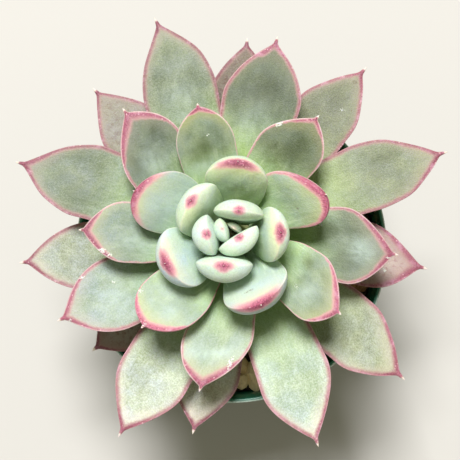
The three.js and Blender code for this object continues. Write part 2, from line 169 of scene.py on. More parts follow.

# Marks by kind: pale scuffs, brown spots, a wider red, added powder, and skin without powder,
# darker olive as painted shade where the face lies turned from the light. Each has its leaf, its
# place along it and across it (1 at the left margin, -1 at the right), its radius across and along
# in millimetres, and its strength.
MARKS = {
    "scuff": (
        (19, 0.82, 0.85, 0.7, 1.3, 1.0), (19, 0.77, 0.88, 0.5, 0.9, 1.0),
        (18, 0.80, 0.95, 0.8, 1.2, 1.0), (17, 0.79, 0.72, 0.7, 2.4, 0.9),
        (22, 0.96, -0.05, 0.7, 0.8, 0.7), (14, 0.93, 0.70, 0.5, 1.5, 0.6),
        (14, 0.76, -0.93, 0.4, 1.4, 0.8), (22, 0.75, -0.95, 1.2, 1.0, 0.7),
        (20, 0.55, -0.26, 0.9, 1.5, 0.52), (24, 0.68, -0.19, 1.6, 0.5, 0.55),
        (15, 0.46, 0.51, 0.9, 1.0, 0.7), (15, 0.93, -0.6, 0.5, 1.2, 0.55),
        (2, 0.75, -0.42, 0.6, 0.8, 0.9), (5, 0.75, -0.33, 1.5, 0.9, 0.5),
        (7, 0.52, -0.35, 0.8, 1.0, 0.5), (14, 0.61, -0.31, 0.35, 0.7, 0.8),
        (21, 0.73, -0.19, 0.5, 0.5, 0.9),
    ),
    "spot": (
        (25, 0.74, -0.22, 1.6, 0.5, 0.7), (23, 0.64, -0.35, 1.2, 0.6, 0.6),
        (20, 0.46, 0.20, 0.6, 0.7, 0.6), (9, 0.70, -0.49, 0.5, 0.5, 0.8),
        (9, 0.41, 0.07, 0.7, 0.5, 0.9), (5, 0.90, -0.12, 0.8, 0.6, 0.8),
        (3, 0.88, 0.07, 0.35, 0.35, 0.9), (3, 0.91, 0.25, 0.3, 0.3, 0.9),
        (3, 0.84, 0.20, 0.35, 0.35, 0.7), (7, 0.50, 0.30, 0.4, 0.4, 0.8),
    ),
    "blush": (
        (13, 0.90, 0.72, 1.6, 2.0, 1.2),
    ),
    "powder": (
        (17, 0.72, 0.0, 7.0, 1.8, 0.9), (22, 0.74, 0.1, 4.0, 2.0, 0.5),
        (22, 0.60, -0.2, 3.0, 3.0, 0.4), (21, 0.47, 0.0, 5.0, 2.0, 0.7),
        (15, 0.74, -0.1, 3.5, 4.0, 0.7), (14, 0.64, 0.1, 5.0, 5.0, 0.5),
        (20, 0.66, -0.3, 3.0, 2.5, 0.6), (13, 0.5, 0.0, 6.0, 6.0, 0.4),
        (16, 0.6, 0.1, 4.0, 4.0, 0.5), (24, 0.55, 0.0, 5.0, 6.0, 0.7),
        (25, 0.6, 0.0, 5.0, 5.0, 0.6), (19, 0.6, 0.3, 3.0, 4.0, 0.6),
        (8, 0.58, 0.0, 6.0, 7.0, 0.35),
    ),
    # Skin without powder, which also paints shade on faces turned from the light.
    "bare": (
        (8, 0.80, -0.1, 4.5, 7.0, 0.55), (13, 0.70, -0.25, 4.5, 6.0, 1.0),
        (5, 0.78, 0.0, 3.5, 6.0, 0.6), (16, 0.74, -0.4, 4.0, 3.5, 0.9),
        (18, 0.68, -0.1, 4.5, 6.0, 1.2), (21, 0.66, 0.0, 3.5, 5.0, 0.9),
        (15, 0.68, 0.4, 2.5, 5.0, 0.9), (20, 0.55, 0.5, 2.5, 3.5, 0.8),
        (20, 0.77, -0.2, 3.0, 4.0, 0.7), (26, 0.55, -0.1, 6.0, 5.0, 0.8),
        (29, 0.70, 0.2, 4.0, 5.0, 0.7), (10, 0.70, 0.4, 3.0, 6.0, 0.8),
        (11, 0.76, 0.1, 4.0, 5.0, 0.5), (22, 0.60, 0.4, 2.5, 4.0, 0.5),
        (12, 0.62, 0.3, 3.0, 7.0, 0.4), (17, 0.55, 0.3, 2.5, 3.0, 0.4),
    ),
}

# Shares that change with age: the value in an open leaf, the value in the bud, and the two ages
# between which one passes into the other.
AGE_RULES = {
    "base_width": (0.45, 0.5, 20, 26),
    "base_depth": (0.6, 0.25, 18, 30),
    "widest": (0.66, 0.72, 27, 31),
    "bluntness": (1.1, 0.5, 12, 26),
    "thickest": (0.5, 0.78, 18, 28),
    "back_bluntness": (0.8, 0.5, 18, 26),
    "channel": (0.16, 0.03, 20, 26),
    "point_radius": (1.1, 0.35, 20, 28),
    "youth": (0.0, 1.0, 6, 27),
    "red_line": (0.95, 0.0, 12, 25),
    "pallor": (0.15, 1.0, 10, 18),
    "ridge_left": (1.0, 0.5, 26, 29),
    "ridge_cut": (0.0, 1.0, 19, 24),
    "lens_roundness": (0.0, 1.0, 21, 25),
    "blotch_size": (2.0, 1.3, 9, 15),
    "cream": (0.6, 0.52, 10, 16),
    "cream_left": (1.0, 0.0, 27, 31),
}
LEAF_SLOTS = {"leaf_outer": range(13), "leaf_middle": range(13, 25), "leaf_bud": range(25, 36)}
POINT_SHARE = 0.035
POINT_FLATNESS = 0.8
HOOK_START = 0.75
FULLNESS = 1.2
FACE_FULLNESS = 1.35
MARGIN_BEAD = 0.16
BEAD_SHARE = 0.05
MARGIN_RIPPLE = 0.1
RIPPLE_LENGTHS = (9, 15)
WAVE_HEIGHTS = (0.09, 0.07, 0.05, 0.05)
WAVE_LENGTHS = (17, 11, 8, 6)
LEAF_STATIONS = 110
LEAF_SIDES = 64
STATION_CROWDING = 1.5
SIDE_CROWDING = 0.28
BASE_TONE = 1.15
FIRST_LEAF_SEED = 100

# Patterns on two leaves are read this far apart, in millimetres.
SKIN_SPACING = 40.0

# Camera: straight above but for a slight tilt, as far off as the perspective of the rim shows.
CAMERA_TILT = math.radians(6.0)
CAMERA_PLACE = Vector((-0.434, -33.025, 433.512)) * MM
FRAME_PIXELS = 460
FOCAL_PIXELS = 1244.0
SENSOR = 36.0

# Studio: a soft window over the far side, and light from all round.
WINDOW_PLACE = (-180, 780, 2030)
WINDOW_TARGET = (0, 0, 90)
WINDOW_WIDTH = 640
WINDOW_POWER = 68.0
WINDOW_COLOUR = (0.985, 0.985, 1.0)
ROOM_COLOUR = (1.0, 0.965, 0.74, 1.0)
ROOM_STRENGTH = 0.26
FLOOR_SIZE = 3000.0
FLOOR_COLOUR = "#C9C6C0"


def lerp(a, b, t):
    return a + (b - a) * t


def smoothstep(x, low, high):
    t = np.clip((x - low) / (high - low), 0, 1)
    return t * t * (3 - 2 * t)


def srgb(code):
    """A colour code such as #A0B090 as linear red, green, blue and alpha."""
    parts = [int(code[i:i + 2], 16) / 255 for i in (1, 3, 5)]
    return (*[p / 12.92 if p <= 0.04045 else ((p + 0.055) / 1.055) ** 2.4 for p in parts], 1.0)


# Meshes


def ring_faces(rings, sides):
    """Four-sided faces between neighbouring rings of points, closed round each ring."""
    ring = np.arange(rings - 1)[:, None] * sides
    side = np.arange(sides)[None, :]
    other = (side + 1) % sides
    corners = (ring + side, ring + other, ring + sides + other, ring + sides + side)
    return np.stack(np.broadcast_arrays(*corners), -1).reshape(-1, 4)


def pole_faces(first, sides, pole, outward):
    """Three-sided faces from the ring that starts at point number first to a pole."""
    side = first + np.arange(sides)
    other = first + (np.arange(sides) + 1) % sides
    pole = np.full(sides, pole)
    return np.stack((side, other, pole) if outward else (other, side, pole), -1)


def closed_rings(rings, start, end):
    """Points and faces of a body made of rings (rings x sides x 3) between two poles."""
    count, sides = rings.shape[:2]
    points = np.concatenate([rings.reshape(-1, 3), [start], [end]])
    quads = ring_faces(count, sides)
    first = pole_faces(0, sides, count * sides, False)
    last = pole_faces((count - 1) * sides, sides, count * sides + 1, True)
    return points, quads, np.concatenate([first, last])


def volume_of(points, quads, triangles):
    halves = np.concatenate([quads[:, :3], quads[:, [0, 2, 3]], triangles])
    a, b, c = (points[halves[:, i]] for i in range(3))
    return np.einsum("ij,ij->i", a, np.cross(b, c)).sum() / 6


def new_mesh(name, points, quads, triangles, values=None, smooth=True):
    """A mesh in metres from points in millimetres, faces turned outwards, with values at its points."""
    if volume_of(points, quads, triangles) < 0:
        quads, triangles = quads[:, ::-1], triangles[:, ::-1]
    mesh = bpy.data.meshes.new(name)
    mesh.vertices.add(len(points))
    mesh.vertices.foreach_set("co", (points * MM).astype(np.float32).ravel())
    corners = np.concatenate([quads.ravel(), triangles.ravel()]).astype(np.int32)
    mesh.loops.add(len(corners))
    mesh.loops.foreach_set("vertex_index", corners)
    sizes = np.concatenate([np.full(len(quads), 4), np.full(len(triangles), 3)])
    mesh.polygons.add(len(sizes))
    mesh.polygons.foreach_set("loop_start", (np.cumsum(sizes) - sizes).astype(np.int32))
    mesh.polygons.foreach_set("use_smooth", np.full(len(sizes), smooth))
    mesh.update(calc_edges=True)
    for label, value in (values or {}).items():
        value = np.asarray(value, np.float32)
        kind, field = ("FLOAT", "value") if value.ndim == 1 else ("FLOAT_VECTOR", "vector")
        mesh.attributes.new(label, kind, "POINT").data.foreach_set(field, value.ravel())
    return mesh


def placed(name, data):
    """A new object in the scene, at the origin, that holds the data."""
    thing = bpy.data.objects.new(name, data)
    bpy.context.scene.collection.objects.link(thing)
    return thing


def new_piece(mesh, material, slot, *nodes):
    """A piece at the origin that stands for the named nodes and rides with the plant."""
    piece = placed(mesh.name, mesh)
    mesh.materials.append(material)
    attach(piece, "root")
    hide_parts(*nodes)


# Node trees


class Wires:
    """Adds nodes to a tree and joins them. An input may be a socket, a number or a colour."""

    def __init__(self, tree):
        self.tree = tree

    def join(self, value, socket):
        self.tree.links.new(value, socket)

    def node(self, kind, inputs, **settings):
        node = self.tree.nodes.new(kind)
        for key, value in settings.items():
            setattr(node, key, value)
        for key, value in inputs.items():
            if isinstance(value, bpy.types.NodeSocket):
                self.join(value, node.inputs[key])
            else:
                node.inputs[key].default_value = value
        return node

    def group(self, group, inputs):
        return self.node("ShaderNodeGroup", inputs, node_tree=group).outputs

    def specks(self, group, place, scale, share, size):
        inputs = {"Place": place, "Scale": scale, "Share": share, "Size": size}
        return self.group(group, inputs)["Mask"]

    def math(self, operation, a, b=0.0):
        return self.node("ShaderNodeMath", {0: a, 1: b}, operation=operation).outputs[0]

    def plus(self, a, b):
        return self.math("ADD", a, b)

    def minus(self, a, b):
        return self.math("SUBTRACT", a, b)

    def times(self, a, b):
        return self.math("MULTIPLY", a, b)

    def ratio(self, a, b):
        return self.math("DIVIDE", a, b)

    def larger(self, a, b):
        return self.math("MAXIMUM", a, b)

    def mix(self, share, a, b):
        return self.node("ShaderNodeMix", {0: share, 6: a, 7: b}, data_type="RGBA").outputs[2]

    def shade(self, share, a, b):
        """Passes from the colour code a to the colour code b as share goes from 0 to 1."""
        return self.mix(share, srgb(a), srgb(b))

    def paint(self, under, share, code):
        """The colour under, covered to a share with the colour code."""
        return self.mix(share, under, srgb(code))

    def blend(self, share, a, b):
        return self.node("ShaderNodeMix", {0: share, 2: a, 3: b}, data_type="FLOAT").outputs[0]

    def span(self, value, low, high):
        """Rises smoothly from 0 where value is low to 1 where it is high."""
        inputs = {"Value": value, "From Min": low, "From Max": high}
        node = self.node("ShaderNodeMapRange", inputs, interpolation_type="SMOOTHSTEP")
        return node.outputs["Result"]

    def fall(self, value, low, high):
        """Falls smoothly from 1 where value is low to 0 where it is high."""
        return self.minus(1.0, self.span(value, low, high))

    def noise(self, place, scale, detail=2.0, roughness=0.5):
        inputs = {"Vector": place, "Scale": scale, "Detail": detail, "Roughness": roughness}
        return self.node("ShaderNodeTexNoise", inputs).outputs["Fac"]

    def stretched(self, place, factors):
        return self.node("ShaderNodeVectorMath", {0: place, 1: factors}, operation="MULTIPLY").outputs[0]

    def attribute(self, name, output="Fac"):
        return self.node("ShaderNodeAttribute", {}, attribute_name=name).outputs[output]

    def place_mm(self):
        """Object coordinates in millimetres."""
        place = self.node("ShaderNodeTexCoord", {}).outputs["Object"]
        return self.stretched(place, (1 / MM, 1 / MM, 1 / MM))


def new_group(name, inputs, outputs):
    """An empty node group: its wires, its inputs by name, and its output node's sockets."""
    group = bpy.data.node_groups.new(name, "ShaderNodeTree")
    for label, kind in inputs.items():
        group.interface.new_socket(label, in_out="INPUT", socket_type="NodeSocket" + kind)
    for label in outputs:
        group.interface.new_socket(label, in_out="OUTPUT", socket_type="NodeSocketFloat")
    source = group.nodes.new("NodeGroupInput")
    sink = group.nodes.new("NodeGroupOutput")
    return group, Wires(group), source.outputs, sink.inputs


def make_bloom_group():
    """Powdery bloom: cover in drifts and smudges, fine grain, patches of worn powder that also carry
    painted shade, and faint streaks.
    """
    outputs = ("Cover", "Drift", "Grain", "RubbedAndShaded", "Streaks")
    group, w, given, result = new_group("Powdery bloom", {"Skin": "Vector"}, outputs)
    along = w.stretched(given["Skin"], (1.0, 0.6, 1.0))
    drifts = w.noise(along, 0.13, 2.0)
    smudges = w.noise(along, 0.6, 3.0, 0.6)
    coarse = w.noise(given["Skin"], 2.2, 2.0, 0.6)
    fine = w.noise(given["Skin"], 4.6, 2.0, 0.6)
    cover = w.plus(w.times(drifts, 0.6), w.times(smudges, 0.4))
    grain = w.plus(w.times(coarse, 0.6), w.times(fine, 0.4))
    rubbed_and_shaded = w.noise(w.stretched(given["Skin"], (1.0, 0.7, 1.0)), 0.22, 4.0, 0.6)
    streaks = w.noise(w.stretched(given["Skin"], (1.0, 0.12, 1.0)), 1.1, 3.0, 0.6)
    w.join(w.span(cover, 0.38, 0.6), result["Cover"])
    w.join(w.span(w.noise(given["Skin"], 0.19, 3.0, 0.55), 0.36, 0.64), result["Drift"])
    w.join(w.span(grain, 0.37, 0.63), result["Grain"])
    w.join(w.span(rubbed_and_shaded, 0.4, 0.64), result["RubbedAndShaded"])
    w.join(w.span(streaks, 0.5, 0.72), result["Streaks"])
    return group


def make_flush_group():
    """Flushed margin: red in a lens and a blotch at the tip and in a line beyond, and a pale ridge of
    bloom with a painted highlight.
    """
    sizes = ("Edge", "Lens", "Ends", "Line", "Tip", "Blotch", "Spread")
    inputs = {**dict.fromkeys(sizes, "Float"), "Skin": "Vector"}
    outputs = ("Red", "Core", "Halo", "Ridge", "Speckle")
    group, w, given, result = new_group("Flushed margin", inputs, outputs)
    wobble = w.minus(w.noise(given["Skin"], 0.5, 3.0, 0.65), 0.5)
    ragged = w.minus(w.noise(given["Skin"], 2.2, 2.0, 0.6), 0.5)
    shift = w.plus(w.times(wobble, 0.8), w.times(ragged, 0.4))
    inside = w.math("ABSOLUTE", given["Edge"])
    depth = w.plus(inside, shift)

    def faded(size, distance, near, far):
        """1 within near of the size, 0 beyond far of it, and 0 where the size is nought."""
        share = w.ratio(distance, w.larger(size, 0.01))
        return w.times(w.fall(share, near, far), w.span(size, 0.0, 0.3))

    rounded = w.times(given["Ends"], given["Lens"])
    rounded = w.math("SQRT", w.plus(w.times(depth, depth), w.times(rounded, rounded)))
    lens = faded(given["Lens"], rounded, 0.1, given["Spread"])
    line = faded(given["Line"], depth, 0.1, w.times(given["Spread"], 1.2))
    blotch = faded(given["Blotch"], w.plus(given["Tip"], shift), 0.1, 1.2)
    red = w.larger(w.larger(lens, w.times(line, 0.8)), blotch)
    halo = faded(w.plus(given["Lens"], 2.0), depth, 0.3, w.plus(given["Spread"], 0.2))
    w.join(red, result["Red"])
    w.join(faded(given["Blotch"], given["Tip"], 0.3, 2.4), result["Core"])
    w.join(halo, result["Halo"])
    # The pale ridge on the margin: bloom, and a painted highlight where the margin catches the light.
    w.join(w.fall(inside, 0.15, 0.5), result["Ridge"])
    w.join(w.span(w.noise(given["Skin"], 2.6, 2.0, 0.6), 0.38, 0.64), result["Speckle"])
    return group


def make_speck_group():
    """Specks: small round spots in a share of the cells of a cellular pattern."""
    inputs = {"Place": "Vector", "Scale": "Float", "Share": "Float", "Size": "Float"}
    group, w, given, result = new_group("Specks", inputs, ("Mask",))
    cells = w.node("ShaderNodeTexVoronoi", {"Vector": given["Place"], "Scale": given["Scale"]})
    colour = w.node("ShaderNodeSeparateColor", {0: cells.outputs["Color"]})
    chosen = w.math("LESS_THAN", colour.outputs[0], given["Share"])
    size = w.times(given["Size"], w.plus(colour.outputs[1], 0.4))
    spot = w.fall(w.ratio(cells.outputs["Distance"], size), 0.5, 1.0)
    w.join(w.times(chosen, spot), result["Mask"])
    return group


def new_material(name, values):
    """A material with the values set on its shader: the material, its wires and the shader."""
    material = bpy.data.materials.new(name)
    material.use_nodes = True
    shader = material.node_tree.nodes["Principled BSDF"]
    for label, value in values.items():
        shader.inputs[label].default_value = value
    return material, Wires(material.node_tree), shader


def set_bump(w, shader, height, depth_mm):
    """Raises the surface by up to depth_mm where height goes from 0 to 1."""
    bump = w.node("ShaderNodeBump", {"Height": height, "Strength": 1.0, "Distance": depth_mm * MM})
    w.join(bump.outputs[0], shader.inputs["Normal"])


def powdery_green(w, skin, youth, bloom, halo):
    """How far powder covers the skin, and its colour: green in drifts, greener at the base and darker
    there with painted shade, with streaks and patches of worn powder darkened with painted shade as
    well, and fawn and pink where the leaf has faded.
    """
    bare = w.shade(youth, "#717F5A", "#88A87C")
    powder = w.shade(youth, "#BAC3AF", "#D4E4DA")
    covered = w.plus(w.times(bloom["Cover"], 0.4), w.times(bloom["Grain"], 0.6))
    covered = w.blend(youth, covered, w.plus(w.times(covered, 0.35), 0.65))
    drift = w.mix(bloom["Drift"], (1.03, 1.03, 0.9, 1.0), (0.975, 0.99, 1.045, 1.0))
    colour = w.stretched(w.mix(covered, bare, powder), drift)
    along = w.attribute("along")
    # Greener towards the base, and darker there with painted shade where the base lies deep in the
    # rosette.
    towards_base = w.fall(along, w.blend(youth, 0.15, 0.3), w.blend(youth, 0.72, 0.8))
    base_green_and_shade = w.shade(youth, "#93B068", "#6B8E3E")
    colour = w.mix(w.times(towards_base, w.blend(youth, 0.85, 0.58)), colour, base_green_and_shade)
    colour = w.paint(colour, w.times(bloom["Streaks"], w.times(youth, 0.4)), "#DDE8D0")
    # Patches of worn powder in dark olive, which also paint shade on faces turned from the light.
    patch = w.times(w.attribute("bare"), w.blend(bloom["RubbedAndShaded"], 0.8, 1.25))
    middle = w.times(w.attribute("rubbed_and_shaded"), w.blend(bloom["RubbedAndShaded"], 0.1, 0.6))
    middle = w.larger(middle, w.times(w.span(patch, 0.05, 1.25), 0.85))
    colour = w.mix(middle, colour, w.shade(youth, "#68775A", "#6A7C40"))
    worn = w.span(w.noise(skin, 0.7, 4.0, 0.65), 0.46, 0.64)
    worn = w.larger(w.times(worn, 0.75), w.times(halo, 0.6))
    faded = w.shade(worn, "#D2BBB0", "#A5606A")
    return covered, w.mix(w.times(w.attribute("stale"), 0.8), colour, faded)


def flushed(w, colour, skin, youth, ragged_tip, flush, flecks):
    """The colour with a pink wash at the tip, mottled red along the margins and a pale ridge."""
    wash = w.fall(ragged_tip, w.blend(youth, 0.8, 0.1), w.blend(youth, 5.0, 1.6))
    wash = w.times(wash, w.blend(youth, 0.75, 0.35))
    colour = w.mix(wash, colour, w.shade(youth, "#BE838A", "#D9939C"))
    edge = w.times(w.span(flush["Red"], 0.0, 0.5), w.blend(youth, 0.6, 0.8))
    colour = w.mix(edge, colour, w.shade(youth, "#A98780", "#E49EA8"))
    red = w.shade(youth, "#A25A6D", "#C56080")
    dark_red = w.shade(youth, "#7C3049", "#882C4F")
    red = w.mix(w.times(flush["Speckle"], w.blend(flush["Core"], 0.45, 0.95)), red, dark_red)
    red = w.stretched(red, w.attribute("ruddy", "Vector"))
    lilac = w.span(w.noise(skin, 0.4, 3.0, 0.6), 0.5, 0.68)
    red = w.paint(red, w.times(lilac, w.blend(flush["Core"], 0.45, 0.2)), "#D8A6BC")
    red = w.paint(red, w.times(flecks, 0.6), "#E6B7BF")
    colour = w.mix(w.times(w.span(flush["Red"], 0.25, 0.95), 0.92), colour, red)
    # A pale line on the margin: bloom, and a painted highlight.
    return w.paint(colour, w.times(flush["Ridge"], w.attribute("pale")), "#F0E3D8")


def make_leaf_material(name, groups):
    """Leaf skin: green under powder, creamy then red towards the margin, a pale dry point."""
    material, w, shader = new_material(name, {
        "Specular IOR Level": 0.4,
        "Subsurface Weight": 0.25,
        "Subsurface Radius": (0.8, 1.0, 0.4),
        "Subsurface Scale": 1.5 * MM,
    })
    skin = w.attribute("skin", "Vector")
    youth = w.attribute("youth")
    tip = w.attribute("tip")
    bloom = w.group(groups["bloom"], {"Skin": skin})
    measures = {label: w.attribute(label.lower()) for label in ("Edge", "Lens", "Ends", "Line", "Blotch")}
    spread = w.blend(youth, 1.65, 1.35)
    flush = w.group(groups["flush"], {"Skin": skin, "Tip": tip, "Spread": spread, **measures})
    ragged_tip = w.plus(tip, w.times(bloom["Cover"], w.blend(youth, 1.5, 0.2)))

    covered, colour = powdery_green(w, skin, youth, bloom, flush["Halo"])
    near_tip = w.fall(ragged_tip, w.blend(youth, 2.5, 1.0), w.blend(youth, 11.0, 4.0))
    halo = w.larger(flush["Halo"], w.times(near_tip, 0.8))
    creamy = w.shade(w.span(youth, 0.35, 0.8), "#CFC5AE", "#E4DC96")
    colour = w.mix(w.times(halo, w.attribute("blush")), colour, creamy)
    # Each leaf's lightness and coolness, in part painted light and shade: darker and more olive on leaves
    # turned from the light, lighter on those turned to it.
    colour = w.stretched(colour, w.attribute("tone_and_painted_shade", "Vector"))
    dusted = w.times(w.attribute("powder"), w.blend(bloom["Cover"], 0.3, 0.75))
    colour = w.paint(colour, dusted, "#C4D6CC")
    pores = w.specks(groups["specks"], skin, 1.1, 0.25, 0.18)
    colour = w.paint(colour, w.times(pores, w.blend(youth, 0.35, 0.0)), "#4F5A3C")
    flecks = w.specks(groups["specks"], skin, 1.3, 0.35, 0.3)
    colour = flushed(w, colour, skin, youth, ragged_tip, flush, flecks)
    dots = w.specks(groups["specks"], skin, 0.2, 0.06, 0.06)
    colour = w.paint(colour, w.times(dots, 0.6), "#6B5238")
    ragged = w.plus(0.35, bloom["Grain"])
    scuff = w.span(w.times(w.attribute("scuff"), ragged), 0.3, 0.6)
    colour = w.paint(colour, w.times(scuff, 0.8), "#EDF0E6")
    spot = w.span(w.times(w.attribute("spot"), ragged), 0.25, 0.6)
    colour = w.paint(colour, w.times(spot, 0.75), "#6A5C40")
    dry = w.fall(w.ratio(tip, w.blend(youth, 1.4, 0.5)), 0.6, 1.2)
    colour = w.paint(colour, w.times(dry, 0.9), "#EEDFD2")
    w.join(colour, shader.inputs["Base Color"])

    w.join(w.blend(covered, 0.42, 0.6), shader.inputs["Roughness"])
    height = w.plus(bloom["Grain"], w.times(bloom["Cover"], 1.5))
    set_bump(w, shader, w.plus(height, w.times(scuff, 1.5)), 0.035)
    return material


def make_pot_material(speck_group):
    """Moulded green plastic: slightly mottled, with specks of dust, a lighter lip that is a painted
    reflection, and a whitish edge that is worn and a painted highlight.
    """
    material, w, shader = new_material("green_plastic", {"Coat Weight": 0.25, "Coat Roughness": 0.2})
    place = w.place_mm()
    cloud = w.noise(place, 0.06, 3.0)
    grain = w.noise(place, 1.6, 3.0, 0.6)
    scratches = w.noise(w.stretched(place, (0.25, 0.25, 3.5)), 1.1, 2.0, 0.7)
    dust = w.specks(speck_group, place, 0.5, 0.25, 0.22)
    colour = w.shade(w.span(cloud, 0.3, 0.7), "#12513B", "#1A6249")
    colour = w.paint(colour, w.times(w.span(scratches, 0.62, 0.74), 0.2), "#3E7A63")
    colour = w.paint(colour, w.times(dust, 0.3), "#9DA89A")
    # A lighter band on the lip: a painted reflection off the glossy rim top.
    colour = w.paint(colour, w.times(w.attribute("lip"), 0.6), "#4E9A80")
    # A whitish outer edge of the lip: worn patches and a painted highlight along it.
    worn_edge_and_highlight = w.times(w.attribute("worn_edge_and_highlight"), w.blend(w.span(grain, 0.3, 0.6), 0.55, 0.95))
    colour = w.paint(colour, worn_edge_and_highlight, "#DDF0E6")
    w.join(colour, shader.inputs["Base Color"])
    w.join(w.blend(w.span(cloud, 0.3, 0.7), 0.26, 0.4), shader.inputs["Roughness"])
    set_bump(w, shader, w.plus(grain, scratches), 0.02)
    return material


def make_stone_material(speck_group):
    """Crushed stone: each stone its own cream, tan, brown or grey, with darker grains."""
    material, w, shader = new_material("crushed_stone", {"Roughness": 0.88})
    place = w.place_mm()
    tint = w.attribute("tint")
    cloud = w.noise(place, 0.5, 4.0, 0.6)
    grain = w.noise(place, 3.0, 3.0, 0.7)
    grains = w.specks(speck_group, place, 1.4, 0.3, 0.3)
    ramp = w.node("ShaderNodeValToRGB", {"Fac": tint})
    for stop, _ in STONE_RAMP[1:-1]:
        ramp.color_ramp.elements.new(stop)
    for element, (stop, code) in zip(ramp.color_ramp.elements, STONE_RAMP):
        element.position = stop
        element.color = srgb(code)
    clouded = w.times(w.span(cloud, 0.35, 0.65), w.blend(tint, 0.45, 0.08))
    colour = w.paint(ramp.outputs[0], clouded, "#8D6238")
    colour = w.paint(colour, w.times(w.span(grain, 0.5, 0.8), 0.4), "#E8DCC4")
    colour = w.paint(colour, w.times(grains, w.blend(tint, 0.6, 0.25)), "#4A3423")
    colour = w.paint(colour, w.span(tint, 0.16, 0.0), "#1D1712")
    w.join(colour, shader.inputs["Base Color"])
    set_bump(w, shader, w.plus(grain, cloud), 0.15)
    return material


def make_soil_material(speck_group):
    """Potting mix: dark crumbs with pale chips."""
    material, w, shader = new_material("potting_mix", {"Roughness": 0.95})
    place = w.place_mm()
    crumbs = w.noise(place, 0.9, 4.0, 0.7)
    chips = w.specks(speck_group, place, 0.45, 0.2, 0.35)
    colour = w.shade(w.span(crumbs, 0.35, 0.7), "#17110C", "#43342A")
    colour = w.paint(colour, w.times(chips, 0.7), "#B9AD98")
    w.join(colour, shader.inputs["Base Color"])
    set_bump(w, shader, crumbs, 0.6)
    return material


def make_stem_material():
    """Stalk: olive skin with dry brown scars and flakes."""
    material, w, shader = new_material("stalk_skin", {"Roughness": 0.8})
    place = w.place_mm()
    scar = w.attribute("scar")
    flakes = w.noise(w.stretched(place, (1.0, 1.0, 0.5)), 0.8, 4.0, 0.65)
    colour = w.shade(w.span(flakes, 0.35, 0.7), "#7F8459", "#A9A67B")
    colour = w.paint(colour, w.times(scar, 0.8), "#7A5F42")
    w.join(colour, shader.inputs["Base Color"])
    set_bump(w, shader, flakes, 0.12)
    return material


# Leaves


def stem_radius(height):
    t = np.clip((height - STEM_SHOULDER) / (STEM_TOP - STEM_SHOULDER), 0, 1)
    return STEM_RADIUS * (1 - t * t) ** STEM_DOME


def leaf_with_age(row, age):
    """A leaf's own measures, and those that follow from its age."""
    leaf = dict(zip(LEAF_FIELDS, row))
    for field, (opened, bud, start, end) in AGE_RULES.items():
        leaf[field] = lerp(opened, bud, smoothstep(age, start, end))
    bud_age = max(age - FIRST_BUD_LEAF, 0)
    climb = OPEN_INTERNODE * (age - bud_age) + BUD_INTERNODE * bud_age
    leaf["heading"] = FIRST_HEADING + SPIRAL_TURN * age + leaf["sway"]
    leaf["base_height"] = FIRST_LEAF_HEIGHT + climb
    leaf["base_radius"] = stem_radius(leaf["base_height"]) + BASE_CLEARANCE
    return leaf


def swelling(t, base, peak, bluntness):
    """Rises from base to 1 at the peak as a sine to a power. Beyond it, falls to 0 as 1 less the
    square of the share gone by, to a power.
    """
    rise = lerp(base, 1, np.sin(np.clip(t / peak, 0, 1) * math.pi / 2) ** FULLNESS)
    fall = np.clip((t - peak) / (1 - peak), 0, 1)
    return np.where(t < peak, rise, (1 - fall * fall) ** bluntness)


def blended(a, b):
    return np.cbrt(a ** 3 + b ** 3)


